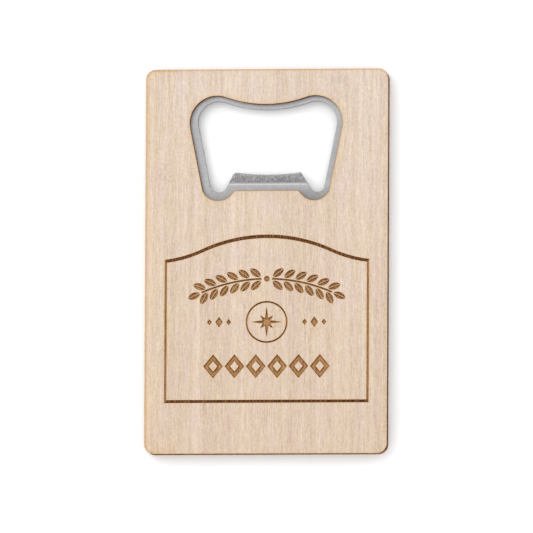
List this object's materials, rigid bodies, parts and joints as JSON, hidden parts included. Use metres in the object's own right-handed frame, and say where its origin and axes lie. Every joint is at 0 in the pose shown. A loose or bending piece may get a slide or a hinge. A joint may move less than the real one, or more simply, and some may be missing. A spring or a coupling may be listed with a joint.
{
  "type": "bottle opener",
  "caption": "Card-shaped bottle opener: a steel plate with an upturned pry tongue, bonded between laser-cut wooden panels with a burnt engraving on the front.",
  "frame": {"origin": "centre of the card's outline on its back face, the face it lies on", "axes": "+Z out of the engraved front face, +Y along the card towards the opening, +X across the card to the viewer's right"},
  "size_m": [0.054, 0.0856, 0.0036],
  "materials": {
    "maple_back": "matt bare maple veneer ply, vertical grain, laser-browned edges",
    "maple_front": "matt bare maple veneer ply, vertical grain, laser-browned edges and engraving",
    "steel": "satin stainless steel, punched and bent",
    "adhesive": "thin amber transfer adhesive"
  },
  "bodies": {
    "root": {"back_panel": "maple_back", "back_film": "adhesive", "steel_plate": "steel", "front_film": "adhesive", "front_panel": "maple_front"}
  },
  "joints": []
}
